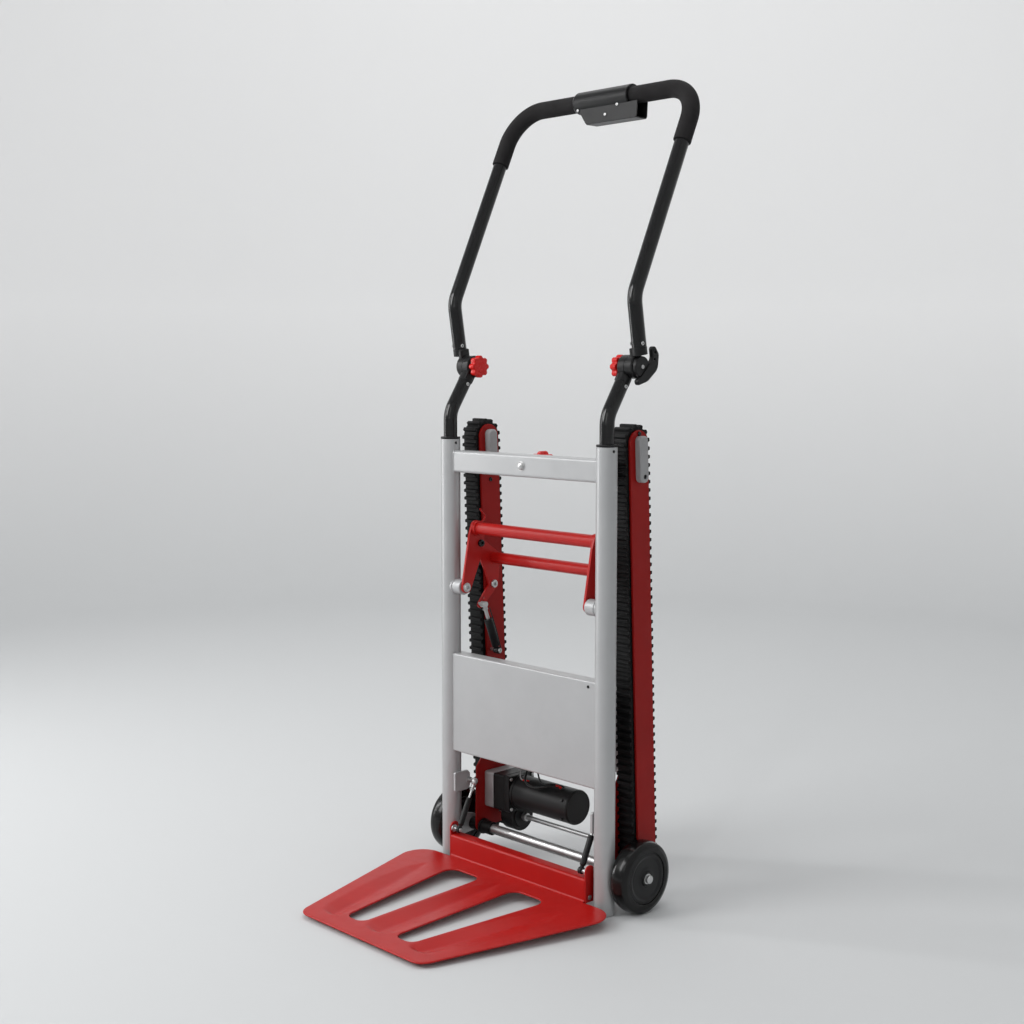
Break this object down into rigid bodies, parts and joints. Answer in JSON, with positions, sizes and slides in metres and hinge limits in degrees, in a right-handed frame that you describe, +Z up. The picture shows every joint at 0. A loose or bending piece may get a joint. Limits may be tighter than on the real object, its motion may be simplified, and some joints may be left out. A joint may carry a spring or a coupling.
{
  "type": "powered stair-climbing hand truck",
  "caption": "Motorised tracked hand truck for stairs: twin-post frame, fold-up toe plate, wheels, rear rubber tracks and a folding loop handle.",
  "frame": {"origin": "on the floor under the middle of the bounding box", "axes": "+Z up, +X across the truck, the toe plate points to -Y and the tracks are to +Y"},
  "size_m": [0.608, 0.7182, 1.705],
  "materials": {
    "silver_paint": "satin",
    "red_paint": "satin",
    "dark_red_paint": "satin",
    "gloss_black_paint": "gloss",
    "black_plastic": "matte",
    "red_plastic": "satin",
    "belt_rubber": "matte",
    "tyre_rubber": "satin",
    "grip_foam": "matte",
    "bright_steel": "satin",
    "grey_plastic": "satin",
    "motor_black": "satin",
    "cast_grey": "satin",
    "cable_black": "satin"
  },
  "bodies": {
    "frame": {"post_left": "silver_paint", "post_right": "silver_paint", "post_collar_left": "black_plastic", "post_collar_right": "black_plastic", "top_crossbar": "silver_paint", "backrest_panel": "silver_paint", "wheel_axle": "bright_steel", "toe_hinge_rod": "bright_steel", "crossbar_bolt": "bright_steel", "handle_tube_lower_left": "gloss_black_paint", "handle_tube_lower_right": "gloss_black_paint", "hinge_lower_left": "black_plastic", "hinge_lower_right": "black_plastic"},
    "wheel_left": {"tyre_left": "tyre_rubber", "wheel_centre_left": "black_plastic"},
    "wheel_right": {"tyre_right": "tyre_rubber", "wheel_centre_right": "black_plastic"},
    "toe": {"toe_plate": "red_paint"},
    "strut_rod_left": {"strut_rod_left": "bright_steel"},
    "strut_cylinder_left": {"strut_cylinder_left": "black_plastic"},
    "strut_rod_right": {"strut_rod_right": "bright_steel"},
    "strut_cylinder_right": {"strut_cylinder_right": "black_plastic"},
    "track": {"track_plate_inner_left": "dark_red_paint", "track_plate_inner_right": "dark_red_paint", "track_plate_outer_left": "dark_red_paint", "track_plate_outer_right": "dark_red_paint", "track_belt_left": "belt_rubber", "track_belt_right": "belt_rubber", "tension_cap_inner_left": "grey_plastic", "tension_cap_inner_right": "grey_plastic", "tension_cap_outer_left": "grey_plastic", "tension_cap_outer_right": "grey_plastic", "motor": "motor_black", "gearbox": "motor_black", "gearbox_spacer": "cast_grey", "carrier_plate": "silver_paint", "battery_case": "black_plastic", "motor_lead": "cable_black", "pivot_sleeve_left": "motor_black", "pivot_sleeve_right": "motor_black"},
    "drive": {"drive_shaft": "bright_steel", "sprocket_left": "black_plastic", "sprocket_right": "black_plastic"},
    "idler_left": {"idler_left": "black_plastic"},
    "idler_right": {"idler_right": "black_plastic"},
    "toggle_arms": {"toggle_arm_frame": "red_paint"},
    "toggle_links": {"toggle_link_frame": "red_paint"},
    "gas_spring_cylinder": {"gas_spring_cylinder": "black_plastic"},
    "gas_spring_rod": {"gas_spring_rod": "bright_steel"},
    "handle": {"handle_tube_upper": "gloss_black_paint", "handle_grip": "grip_foam", "control_clamp": "black_plastic", "control_bracket": "black_plastic", "hinge_upper_left": "black_plastic", "hinge_upper_right": "black_plastic"},
    "lock_lever": {"lock_lever": "black_plastic"},
    "knob_left": {"knob_left": "red_plastic"},
    "knob_right": {"knob_right": "red_plastic"},
    "centre_knob": {"centre_knob": "red_plastic"},
    "drive_switch": {"drive_switch": "red_plastic"}
  },
  "joints": [
    {"name": "wheel_left_spin", "type": "hinge", "parent": "frame", "child": "wheel_left", "pos_m": [0, 0.1579, 0.075], "axis": [1, 0, 0], "continuous": true},
    {"name": "wheel_right_spin", "type": "hinge", "parent": "frame", "child": "wheel_right", "pos_m": [0, 0.1579, 0.075], "axis": [1, 0, 0], "continuous": true},
    {"name": "toe_fold", "type": "hinge", "parent": "frame", "child": "toe", "pos_m": [0, 0.0819, 0.032], "axis": [-1, 0, 0], "range_deg": [0, 90]},
    {"name": "strut_left_swing", "type": "hinge", "parent": "toe", "child": "strut_cylinder_left", "pos_m": [-0.186, 0.0779, 0.085], "axis": [1, 0, 0], "range_deg": [0, 118.83]},
    {"name": "strut_left_extend", "type": "slide", "parent": "strut_cylinder_left", "child": "strut_rod_left", "axis": [0, 0.4219, 0.9066], "range_m": [0, 0.03903]},
    {"name": "strut_right_swing", "type": "hinge", "parent": "toe", "child": "strut_cylinder_right", "pos_m": [0.186, 0.0779, 0.085], "axis": [1, 0, 0], "range_deg": [0, 118.83]},
    {"name": "strut_right_extend", "type": "slide", "parent": "strut_cylinder_right", "child": "strut_rod_right", "axis": [0, 0.4219, 0.9066], "range_m": [0, 0.03903]},
    {"name": "track_swing", "type": "hinge", "parent": "frame", "child": "track", "pos_m": [0, 0.1579, 0.075], "axis": [-1, 0, 0], "range_deg": [0, 12.5]},
    {"name": "arm_fold", "type": "hinge", "parent": "frame", "child": "toggle_arms", "pos_m": [0, 0.0979, 0.628], "axis": [-1, 0, 0], "range_deg": [0, 63.26]},
    {"name": "link_fold", "type": "hinge", "parent": "track", "child": "toggle_links", "pos_m": [0, 0.1862, 0.627], "axis": [1, 0, 0], "range_deg": [0, 62.47]},
    {"name": "spring_swing", "type": "hinge", "parent": "track", "child": "gas_spring_cylinder", "pos_m": [-0.174, 0.1846, 0.478], "axis": [-1, 0, 0], "range_deg": [0, 31.9]},
    {"name": "spring_compress", "type": "slide", "parent": "gas_spring_cylinder", "child": "gas_spring_rod", "axis": [0, 0.3559, -0.9345], "range_m": [0, 0.02196]},
    {"name": "drive_spin", "type": "hinge", "parent": "track", "child": "drive", "pos_m": [0, 0.2149, 0.101], "axis": [1, 0, 0], "continuous": true},
    {"name": "idler_left_spin", "type": "hinge", "parent": "track", "child": "idler_left", "pos_m": [-0.22, 0.1789, 0.957], "axis": [1, 0, 0], "continuous": true},
    {"name": "idler_right_spin", "type": "hinge", "parent": "track", "child": "idler_right", "pos_m": [0.22, 0.1789, 0.957], "axis": [1, 0, 0], "continuous": true},
    {"name": "handle_fold", "type": "hinge", "parent": "frame", "child": "handle", "pos_m": [0, 0.1619, 1.111], "axis": [1, 0, 0], "range_deg": [-40, 125]},
    {"name": "lock_lever_turn", "type": "hinge", "parent": "handle", "child": "lock_lever", "pos_m": [0.264, 0.1619, 1.111], "axis": [-1, 0, 0], "range_deg": [0, 50]},
    {"name": "knob_left_turn", "type": "hinge", "parent": "frame", "child": "knob_left", "pos_m": [-0.209, 0.1619, 1.111], "axis": [1, 0, 0], "range_deg": [-720, 720]},
    {"name": "knob_right_turn", "type": "hinge", "parent": "frame", "child": "knob_right", "pos_m": [0.209, 0.1619, 1.111], "axis": [1, 0, 0], "range_deg": [-720, 720]},
    {"name": "centre_knob_turn", "type": "hinge", "parent": "frame", "child": "centre_knob", "pos_m": [0, 0.1312, 0.9045], "axis": [0, 1, 0], "range_deg": [-720, 720]},
    {"name": "drive_switch_rock", "type": "hinge", "parent": "handle", "child": "drive_switch", "pos_m": [0.01, 0.3481, 1.646], "axis": [1, 0, 0], "range_deg": [-6, 6], "stiffness_Nm_per_rad": 0.3}
  ],
  "couplings": [
    {"joint": "strut_left_swing", "follows": "toe_fold", "ratio": 1.3196},
    {"joint": "strut_left_extend", "follows": "toe_fold", "m_per_rad": 0.024785},
    {"joint": "strut_right_swing", "follows": "toe_fold", "ratio": 1.3196},
    {"joint": "strut_right_extend", "follows": "toe_fold", "m_per_rad": 0.024785},
    {"joint": "arm_fold", "follows": "track_swing", "ratio": 5.0575},
    {"joint": "link_fold", "follows": "track_swing", "ratio": 4.9951},
    {"joint": "spring_swing", "follows": "track_swing", "ratio": 2.55},
    {"joint": "spring_compress", "follows": "track_swing", "m_per_rad": 0.10022},
    {"joint": "idler_left_spin", "follows": "drive_spin", "ratio": 1},
    {"joint": "idler_right_spin", "follows": "drive_spin", "ratio": 1}
  ]
}
